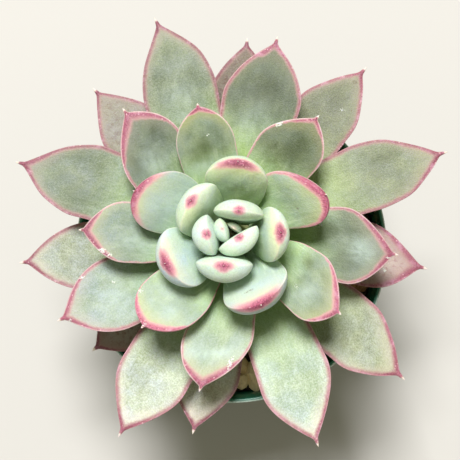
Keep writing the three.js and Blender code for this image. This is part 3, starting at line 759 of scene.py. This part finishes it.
def leaf_points(leaf, along, angle, random):
    """Points of a leaf and values at them, for places along the midrib and angles round it.

    The midrib is a curve of the second degree that leaves the stem at the angle of its lift. Round
    it the width goes as the cosine of the angle, the face as its sine to a power and the back as its
    sine, with the margins lifted as the square of the cosine. Low waves, each a sine along a line of
    its own, run over the skin, and a bead, a bell over the cosine, runs along the margins.
    """
    start = np.array([leaf["base_radius"], leaf["base_height"]])
    end = np.array([leaf["reach"], leaf["top"]])
    lift = math.radians(leaf["lift"])
    length = np.hypot(*(end - start))
    knee = start + length / 2 * np.array([math.cos(lift), math.sin(lift)])
    rib = (1 - along) ** 2 * start + 2 * along * (1 - along) * knee + along ** 2 * end
    run = (1 - along) * (knee - start) + along * (end - knee)
    run = run / np.linalg.norm(run, axis=1, keepdims=True)

    body = np.clip(along / (1 - POINT_SHARE), 0, 1)
    left = (1 - along) / POINT_SHARE
    point_width = leaf["point_radius"] * left ** FULLNESS / (left ** FULLNESS + 1)
    point_depth = POINT_FLATNESS * point_width
    width = leaf["width"] * swelling(
        body, leaf["base_width"], leaf["widest"], leaf["bluntness"])
    depth = leaf["thickness"] * swelling(
        body, leaf["base_depth"], leaf["thickest"], leaf["back_bluntness"])
    half = blended(width / 2, point_width)
    face = blended(leaf["face"] * depth, point_depth)
    back = blended((1 - leaf["face"]) * depth, point_depth)

    c = np.cos(angle)
    s = np.sin(angle)
    solid = np.clip(left - 1, 0, 1) * np.clip(along * 8, 0, 1)
    skin_x = half * c
    skin_y = along * length
    waves = sum(
        size * np.sin(2 * math.pi * (skin_x * x + skin_y * y) / wave + turn)
        for size, wave, x, y, turn in zip(
            WAVE_HEIGHTS, WAVE_LENGTHS,
            *random.uniform(-1, 1, (2, 4)), random.uniform(0, 2 * math.pi, 4))
    )
    bead = MARGIN_BEAD * (1 - leaf["youth"]) * np.exp(-((1 - np.abs(c)) / BEAD_SHARE) ** 2)
    trough = leaf["channel"] * half * c * c * np.clip(left, 0, 1)
    upper = face * np.abs(s) ** FACE_FULLNESS + solid * waves * s
    lower = -back * np.abs(s) - solid * waves * s
    above = np.where(s > 0, upper, lower) + trough + solid * bead
    ripple = np.sin(2 * math.pi * skin_y / random.uniform(*RIPPLE_LENGTHS) + random.uniform(0, 6))
    across = (half + solid * MARGIN_RIPPLE * ripple * np.abs(c)) * c

    twist = math.radians(leaf["twist"])
    hook = leaf["hook"] * np.clip((along - HOOK_START) / (1 - HOOK_START), 0, None) ** 2
    side = across * math.cos(twist) - above * math.sin(twist) + leaf["bend"] * along ** 2 + hook
    up = across * math.sin(twist) + above * math.cos(twist)
    out = rib[:, :1] - run[:, 1:] * up
    height = rib[:, 1:] + run[:, :1] * up
    heading = math.radians(leaf["heading"])
    points = np.stack([
        out * math.cos(heading) - side * math.sin(heading),
        out * math.sin(heading) + side * math.cos(heading),
        height,
    ], -1)

    values = {
        "skin": np.stack(np.broadcast_arrays(skin_x, skin_y, above), -1),
        "upper": np.broadcast_to(s > 0, above.shape),
        "left": np.broadcast_to(c, above.shape),
        "along": np.broadcast_to(along, above.shape),
        "half": np.broadcast_to(half, above.shape),
    }
    return points, values


def margin_distance(rings, upper):
    """How far each point is from the nearer margin in millimetres, below nought on the back."""
    sides = rings.shape[1]
    margins = np.concatenate([rings[:, 0], rings[:, sides // 2]])
    gaps = rings.reshape(-1, 1, 3) - margins
    nearest = np.sqrt((gaps ** 2).sum(-1).min(1)).reshape(rings.shape[:2])
    return np.where(upper, nearest, -nearest)


def flush_widths(leaf, tip, left, along):
    """Half widths in millimetres of the red lens and of the line beyond it, and how near the lens ends.

    On open leaves the lens narrows from the tip as (1 - distance / reach) to the power 0.6. On the
    bud leaves it keeps its width and fades out in all directions.
    """
    reach = lerp(leaf["red_right"], leaf["red_left"], smoothstep(left, -0.4, 0.4))
    narrowing = np.clip(1 - tip / reach, 0, 1) ** 0.6
    lens = leaf["red_width"] * lerp(narrowing, 1.0, leaf["lens_roundness"])
    line = leaf["red_line"] * smoothstep(along, 0.05, 0.5)
    return lens, line, leaf["lens_roundness"] * tip / reach


def skin_marks(age, values):
    """Marks of each kind as bells over the leaf's face, the stronger one where two of them meet."""
    marks = {kind: np.zeros(values["left"].shape) for kind in MARKS}
    x, y = values["skin"][..., 0], values["skin"][..., 1]
    own = ((kind, row[1:]) for kind, rows in MARKS.items() for row in rows if row[0] == age)
    for kind, (along, across, wide, long, strength) in own:
        station = np.abs(values["along"][:, 0] - along).argmin()
        mark_x = across * values["half"][station, 0]
        mark_y = y[station, 0]
        bell = np.exp(-((x - mark_x) / wide) ** 2 - ((y - mark_y) / long) ** 2)
        marks[kind] = np.maximum(marks[kind], strength * bell * values["upper"])
    return marks


def skin_values(leaf, age, rings, values):
    """What the skin reads at each point: its place, distances, widths of the red, powder worn thin, and
    lightness, with painted shade in both.
    """
    along, upper, left = values["along"], values["upper"], values["left"]
    youth = leaf["youth"]
    tip = np.linalg.norm(rings - rings[-1].mean(0), axis=2)
    lens, line, ends = flush_widths(leaf, tip, left, along)
    marks = skin_marks(age, values)
    everywhere = np.ones(tip.shape)

    # The pale line on the margin: bloom, and a painted highlight.
    past_red = smoothstep(tip, 0.6 * leaf["red_left"], 1.3 * leaf["red_left"])
    pale = 0.7 * leaf["pallor"] * leaf["ridge_left"] * (1 - 0.5 * youth)
    pale = pale * smoothstep(along, 0.25, 0.6) * lerp(1, past_red, leaf["ridge_cut"])
    cream = leaf["cream"] * leaf["cream_left"] * (1 - 0.8 * leaf["stale"]) * upper
    cream = cream * (1 - smoothstep(tip, lerp(5, 2, youth), lerp(34, 12, youth)))
    # Powder worn thin in the middle of the face, which also carries painted shade.
    rubbed_and_shaded = leaf["rubbed_and_shaded"] * upper * (1 - smoothstep(np.abs(left), 0.5, 0.9))
    rubbed_and_shaded = rubbed_and_shaded * smoothstep(along, 0.25, 0.5) * (1 - smoothstep(along, 0.72, 0.9))
    # Lighter at the base; towards the tip each leaf's own lightness, which holds painted light and shade.
    tone_and_painted_shade = lerp(BASE_TONE, leaf["tone_and_painted_shade"], smoothstep(along, 0.35, 0.65))
    return {
        "skin": values["skin"] + np.array([0, 0, SKIN_SPACING * age]),
        "edge": margin_distance(rings, upper),
        "lens": lens + marks["blush"],
        "ends": ends,
        "line": line,
        "along": along,
        "tip": tip,
        "youth": youth * everywhere,
        "scuff": marks["scuff"],
        "spot": marks["spot"],
        "pale": pale,
        "blush": cream,
        "blotch": leaf["blotch_size"] * leaf["red_width"] * everywhere,
        "ruddy": leaf["red_tone"] * np.ones((*tip.shape, 3)),
        "bare": marks["bare"],
        "powder": marks["powder"],
        "stale": leaf["stale"] * everywhere,
        "rubbed_and_shaded": rubbed_and_shaded,
        "tone_and_painted_shade": tone_and_painted_shade[..., None] * np.array([1, 1, leaf["coolness"]]),
    }


def at_points(value):
    """Values of the rings as a list of points: the last ring gives way to the means at the poles."""
    flat = value[:-1].reshape(-1, *value.shape[2:])
    return np.concatenate([flat, [value[0].mean(0)], [value[-1].mean(0)]])


def make_leaf(row, age, materials):
    """One leaf, as rings of points from its base to its tip, closer together near tip and margins."""
    leaf = leaf_with_age(row, age)
    t = np.arange(LEAF_STATIONS) / LEAF_STATIONS
    along = np.append(1 - (1 - t) ** STATION_CROWDING, 1.0)[:, None]
    turn = 2 * math.pi * np.arange(LEAF_SIDES) / LEAF_SIDES
    angle = (turn - SIDE_CROWDING * np.sin(2 * turn))[None, :]
    rings, values = leaf_points(leaf, along, angle, np.random.default_rng(FIRST_LEAF_SEED + age))
    skin = skin_values(leaf, age, rings, values)
    points, quads, triangles = closed_rings(rings[:-1], rings[0].mean(0), rings[-1].mean(0))
    name = f"leaf_{age:02d}"
    skin = {label: at_points(value) for label, value in skin.items()}
    mesh = new_mesh(name + "_skin", points, quads, triangles, skin)
    slot = next(slot for slot, ages in LEAF_SLOTS.items() if age in ages)
    new_piece(mesh, materials[slot], slot, name)


# Pot, stones and stem


def turned_rings(profile, sides):
    """Rings of points from a profile of radius and height, turned about the Z axis."""
    turn = 2 * math.pi * np.arange(sides) / sides
    radius, height = np.asarray(profile, float).T[:, :, None]
    return np.stack(np.broadcast_arrays(radius * np.cos(turn), radius * np.sin(turn), height), -1)


def rounded(profile, radius, steps=5):
    """The profile with each inner corner replaced by an arc that starts up to radius before it."""
    profile = np.asarray(profile, float)
    t = np.linspace(0, 1, steps)[:, None]
    points = [profile[:1]]
    for before, corner, after in zip(profile, profile[1:], profile[2:]):
        a, b = (lerp(corner, end, min(radius / np.hypot(*(end - corner)), 0.5)) for end in (before, after))
        points.append((1 - t) ** 2 * a + 2 * t * (1 - t) * corner + t ** 2 * b)
    return np.concatenate([*points, profile[-1:]])


def inner_radius(height):
    return lerp(FOOT_RADIUS, RIM_RADIUS - COLLAR_STEP, height / POT_HEIGHT) - POT_WALL


def welded(points, quads, triangles):
    """The mesh with points that coincide within a thousandth of a millimetre made one."""
    _, first, merged = np.unique(np.round(points, 3), axis=0, return_index=True, return_inverse=True)
    merged = merged.ravel()
    return points[first], merged[quads], merged[triangles]


def drain_sector(height):
    """A 45 degree piece of the floor round one drain hole: five loops from its border to the hole.

    The border runs along the outer arc, in along one side, back along the inner arc and out again.
    """
    inner, outer = DRAIN_BAND
    half = math.pi / DRAIN_HOLES
    arc = np.linspace(-half, half, SECTOR_STEPS + 1)
    side = np.linspace(0, 1, SECTOR_STEPS // 2 + 1)[1:-1]
    radius = np.concatenate([np.full(len(arc), outer), lerp(outer, inner, side),
                             np.full(len(arc), inner), lerp(inner, outer, side)])
    turn = np.concatenate([arc, np.full(len(side), half), arc[::-1], np.full(len(side), -half)])
    border = np.stack([radius * np.cos(turn), radius * np.sin(turn)], -1)
    centre = np.array([DRAIN_CIRCLE, 0])
    facing = np.arctan2(*(border - centre).T[::-1])
    hole = centre + DRAIN_RADIUS * np.stack([np.cos(facing), np.sin(facing)], -1)
    loops = lerp(border[None], hole[None], np.linspace(0, 1, 5)[:, None, None])
    return np.concatenate([loops, np.full((*loops.shape[:2], 1), height)], -1)


def drain_floor(low, high):
    """The ring of floor that holds the drain holes, under side, top and the walls of the holes."""
    bottom, top = drain_sector(low), drain_sector(high)
    loops = np.concatenate([bottom, top[::-1]])
    steps, sides = loops.shape[:2]
    angle = 2 * math.pi * (np.arange(DRAIN_HOLES) + 0.5) / DRAIN_HOLES
    c, s = np.cos(angle)[:, None, None], np.sin(angle)[:, None, None]
    x, y, z = np.moveaxis(loops, -1, 0)
    points = np.stack([x * c - y * s, x * s + y * c, z + 0 * c], -1).reshape(-1, 3)
    return points, repeated_faces(ring_faces(steps, sides), DRAIN_HOLES, steps * sides)


def make_pot(material):
    """The pot: a turned wall, up from the foot ring to the lip and down inside, and a pierced floor."""
    collar_foot = POT_HEIGHT - COLLAR_HEIGHT
    wall_top = RIM_RADIUS - COLLAR_STEP
    floor_top = FOOT_RECESS + FLOOR_THICKNESS
    collar_inset = lerp(FOOT_RADIUS, wall_top, (collar_foot - COLLAR_SLOPE) / POT_HEIGHT)
    inner, outer = DRAIN_BAND
    wall = rounded([
        (outer, FOOT_RECESS),
        (FOOT_RADIUS - FOOT_WIDTH, FOOT_RECESS),
        (FOOT_RADIUS - FOOT_WIDTH, 0),
        (FOOT_RADIUS, 0),
        (collar_inset, collar_foot - COLLAR_SLOPE),
        (RIM_RADIUS - LIP_ROUND / 2, collar_foot),
        (RIM_RADIUS, POT_HEIGHT - LIP_BEVEL),
        (RIM_RADIUS, POT_HEIGHT),
        (RIM_RADIUS - LIP_WIDTH, POT_HEIGHT),
        (inner_radius(POT_HEIGHT - LIP_BEVEL), POT_HEIGHT - LIP_BEVEL),
        (inner_radius(floor_top), floor_top),
        (outer, floor_top),
    ], LIP_ROUND)
    thirds = np.concatenate([lerp(wall[:-1], wall[1:], k / 3) for k in range(3)], 1)
    wall = np.append(thirds.reshape(-1, 2), wall[-1:], 0)
    boss = [(1, 0), (BOSS_RADIUS, 0), (BOSS_RADIUS, FOOT_RECESS), (inner, FOOT_RECESS)]
    boss = rounded(boss, LIP_ROUND)
    middle = [(inner, floor_top), (inner / 2, floor_top), (1, floor_top)]
    points, quads = drain_floor(FOOT_RECESS, floor_top)
    for profile in (wall, boss, middle):
        rings = turned_rings(profile, POT_SIDES)
        quads = np.concatenate([quads, len(points) + ring_faces(len(rings), POT_SIDES)])
        points = np.concatenate([points, rings.reshape(-1, 3)])
    count = len(points)
    first_boss = count - (len(boss) + len(middle)) * POT_SIDES
    triangles = np.concatenate([
        pole_faces(first_boss, POT_SIDES, count, False),
        pole_faces(count - POT_SIDES, POT_SIDES, count + 1, True),
    ])
    points = np.concatenate([points, [(0, 0, 0), (0, 0, floor_top)]])
    points, quads, triangles = welded(points, quads, triangles)
    radius = np.hypot(points[:, 0], points[:, 1])
    # Masks on the rim top: a band for a painted reflection, and the outer edge for worn patches with a
    # painted highlight.
    high = smoothstep(points[:, 2], *(POT_HEIGHT - depth for depth in LIP_BAND))
    lip_edge = RIM_RADIUS - LIP_WIDTH
    lip = high * smoothstep(radius, lip_edge - LIP_SOFTNESS, lip_edge + LIP_SOFTNESS)
    worn_edge_and_highlight = high * smoothstep(radius, *(RIM_RADIUS - depth for depth in WORN_EDGE_AND_HIGHLIGHT_BAND))
    mesh = new_mesh("pot_shell", points, quads, triangles, {"lip": lip, "worn_edge_and_highlight": worn_edge_and_highlight})
    new_piece(mesh, material, "pot", "pot")


def stone_shapes(count, random, rings=5, sides=8):
    """Crushed stones about one unit in radius: in each direction the nearest of some random planes."""
    t = np.pi * (np.arange(rings) + 1) / (rings + 1)
    turn = 2 * np.pi * np.arange(sides) / sides
    ball = np.stack(np.broadcast_arrays(
        np.sin(t)[:, None] * np.cos(turn), np.sin(t)[:, None] * np.sin(turn), np.cos(t)[:, None]), -1)
    ball, quads, triangles = closed_rings(ball, (0, 0, 1), (0, 0, -1))
    normals = random.normal(size=(count, STONE_PLANES, 3))
    normals /= np.linalg.norm(normals, axis=2, keepdims=True)
    offsets = random.uniform(0.72, 1.05, (count, STONE_PLANES))
    facing = np.einsum("vk,spk->svp", ball, normals)
    reach = np.where(facing > 0.05, offsets[:, None, :] / np.maximum(facing, 0.05), 9.0).min(2)
    return ball[None] * np.minimum(reach, 1.25)[:, :, None], quads, triangles


def turned_stones(shapes, size, tilt, turn):
    """Stones scaled by size, leaned about X by tilt and turned about Z by turn."""
    shapes = shapes * size[:, None, :]
    x, y, z = np.moveaxis(shapes, -1, 0)
    lean = tilt[:, None]
    y, z = y * np.cos(lean) - z * np.sin(lean), y * np.sin(lean) + z * np.cos(lean)
    spin = turn[:, None]
    return np.stack([x * np.cos(spin) - y * np.sin(spin), x * np.sin(spin) + y * np.cos(spin), z], -1)


def repeated_faces(faces, count, points):
    return (faces[None] + (np.arange(count) * points)[:, None, None]).reshape(-1, faces.shape[1])


def make_stones(material):
    """A dressing of stones on a sunflower spiral over a dark bed, each turned and sized by chance.

    A few larger stones lie where a gap between the leaves shows them.
    """
    random = np.random.default_rng(7)
    bottom = SOIL_TOP + GAP
    top = bottom + BED_DEPTH
    number = np.arange(STONES)
    radius = STONE_SPACING * np.sqrt(number + 0.5)
    keep = (radius > STEM_NECK_RADIUS + 3.0) & (radius < inner_radius(top) - 2.6)
    number, radius = number[keep], radius[keep]
    angle = np.radians(SPIRAL_TURN * number)
    places = np.stack([radius * np.cos(angle), radius * np.sin(angle)], -1)
    large = np.array(LARGE_STONES)
    apart = np.abs(places[:, None] - large[:, :2]) - large[:, 3:5] / 2
    places = places[~(apart < STONE_RADIUS * 0.6).all(-1).any(-1)]
    count = len(places)
    size = STONE_RADIUS * random.uniform(0.7, 1.2, (count, 1)) * np.array(STONE_SHAPE)
    rise = top + 0.25 * size[:, 2] + random.uniform(-0.3, 0.9, count)
    tint = random.choice(STONE_TINTS, count, p=TINT_SHARES)
    tint = tint + random.uniform(-TINT_SPREAD, TINT_SPREAD, count)
    tilt = random.normal(0, 0.3, count)
    turn = random.uniform(0, 7, count)

    count += len(large)
    places = np.concatenate([places, large[:, :2]])
    rise = np.concatenate([rise, top + large[:, 2]])
    size = np.concatenate([size, large[:, 3:6] / 2])
    tilt = np.concatenate([tilt, large[:, 6]])
    turn = np.concatenate([turn, large[:, 7]])
    tint = np.concatenate([tint, large[:, 8]])
    shapes, quads, triangles = stone_shapes(count, random)
    stones = turned_stones(shapes, size, tilt, turn)
    stones = stones + np.concatenate([places, rise[:, None]], -1)[:, None, :]

    inner = STEM_NECK_RADIUS + GAP
    spread = np.linspace(0, 1, 40)
    low = [(lerp(inner, inner_radius(bottom) - GAP, r), bottom) for r in (0, 0.5, 1)]
    high = [(lerp(inner_radius(top) - GAP, inner, r), top) for r in spread]
    rings = turned_rings([*low, *high], 120)
    rings[len(low):, :, 2] += BED_ROUGHNESS * random.uniform(-1, 1, rings[len(low):, :, 2].shape)
    steps, sides = rings.shape[:2]
    bed_points = rings.reshape(-1, 3)
    closing = ring_faces(2, sides)
    closing = np.where(closing < sides, closing + (steps - 1) * sides, closing - sides)
    bed_quads = np.concatenate([ring_faces(steps, sides), closing])

    stone_points = stones.shape[1]
    points = np.concatenate([bed_points, stones.reshape(-1, 3)])
    quads = np.concatenate([bed_quads, len(bed_points) + repeated_faces(quads, count, stone_points)])
    triangles = len(bed_points) + repeated_faces(triangles, count, stone_points)
    tints = np.concatenate([np.full(len(bed_points), BED_TINT), np.repeat(tint, stone_points)])
    mesh = new_mesh("grit_stones", points, quads, triangles, {"tint": tints}, smooth=False)
    new_piece(mesh, material, "grit", "grit")


def make_stem(material):
    """The stem: a turned stalk with a dome, and slanting scars sunk into it where leaves stood."""
    neck_foot = STEM_FOOT + 2 * STEM_BEVEL
    low = [(STEM_NECK_RADIUS - STEM_BEVEL, STEM_FOOT), (STEM_NECK_RADIUS, neck_foot)]
    neck = [(STEM_NECK_RADIUS, h) for h in np.linspace(neck_foot + 1, STEM_NECK_TOP, 40)]
    shoulder_foot = STEM_NECK_TOP + 2 * STEM_BEVEL
    shoulder = [(STEM_RADIUS, h) for h in np.linspace(shoulder_foot, STEM_SHOULDER, 40)]
    heights = lerp(STEM_SHOULDER, STEM_TOP - 0.05, np.sin(np.linspace(0.05, math.pi / 2, 24)))
    dome = [(stem_radius(h), h) for h in heights]
    rings = turned_rings([*low, *neck, *shoulder, *dome], 72)
    heading = np.degrees(np.arctan2(rings[..., 1], rings[..., 0]))
    lean = (heading / SPIRAL_TURN * OPEN_INTERNODE + rings[..., 2]) / SCAR_SPACING
    scar = smoothstep(np.abs(np.sin(math.pi * lean)), 0.9, 1.0)
    scar = scar * smoothstep(rings[..., 2], *SCAR_HEIGHTS)
    rings[..., :2] *= (1 - SCAR_DEPTH * scar)[..., None]
    points, quads, triangles = closed_rings(rings, (0, 0, STEM_FOOT), (0, 0, STEM_TOP))
    scars = np.concatenate([scar.ravel(), [0, 0]])
    mesh = new_mesh("stem_stalk", points, quads, triangles, {"scar": scars})
    new_piece(mesh, material, "stem", "stem")


# Studio


def make_floor():
    """A plain pale floor that the pot stands on."""
    size = FLOOR_SIZE
    points = np.array([(-size, -size, 0), (size, -size, 0), (size, size, 0), (-size, size, 0)])
    mesh = new_mesh("floor", points, np.array([[0, 1, 2, 3]]), np.zeros((0, 3), int), smooth=False)
    floor = placed("floor", mesh)
    paint = {"Base Color": srgb(FLOOR_COLOUR), "Roughness": 0.9}
    mesh.materials.append(new_material("pale_floor", paint)[0])


def make_window():
    """A soft square light, turned to the plant."""
    data = bpy.data.lights.new("window", "AREA")
    data.size = WINDOW_WIDTH * MM
    data.energy = WINDOW_POWER
    data.color = WINDOW_COLOUR
    light = placed("window", data)
    place, target = Vector(WINDOW_PLACE), Vector(WINDOW_TARGET)
    light.location = place * MM
    light.rotation_euler = (target - place).to_track_quat("-Z", "Y").to_euler()


def make_studio():
    """The floor, the window and an even, slightly warm light from all round."""
    make_floor()
    world = bpy.data.worlds.new("studio")
    world.use_nodes = True
    background = world.node_tree.nodes["Background"]
    background.inputs["Color"].default_value = ROOM_COLOUR
    background.inputs["Strength"].default_value = ROOM_STRENGTH
    bpy.context.scene.world = world
    make_window()
    bpy.context.scene.view_settings.view_transform = "Standard"


def make_camera():
    """A camera that looks down on the crown, tilted from the vertical towards the front."""
    data = bpy.data.cameras.new("camera")
    data.sensor_width = SENSOR
    data.lens = FOCAL_PIXELS / FRAME_PIXELS * SENSOR
    camera = placed("camera", data)
    camera.matrix_world = Matrix.Translation(CAMERA_PLACE) @ Matrix.Rotation(CAMERA_TILT, 4, "X")
    bpy.context.scene.camera = camera


def dress_plant():
    """Puts the finer leaves, pot, stones and stem in place, and gives the soil its material."""
    groups = {"bloom": make_bloom_group(), "flush": make_flush_group(), "specks": make_speck_group()}
    skins = {slot: make_leaf_material(slot + "_skin", groups) for slot in LEAF_SLOTS}
    for age, row in enumerate(LEAVES):
        make_leaf(row, age, skins)
    make_pot(make_pot_material(groups["specks"]))
    make_stones(make_stone_material(groups["specks"]))
    make_stem(make_stem_material())
    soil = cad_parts["soil"]
    soil.data.materials.clear()
    soil.data.materials.append(make_soil_material(groups["specks"]))


dress_plant()
make_studio()
make_camera()
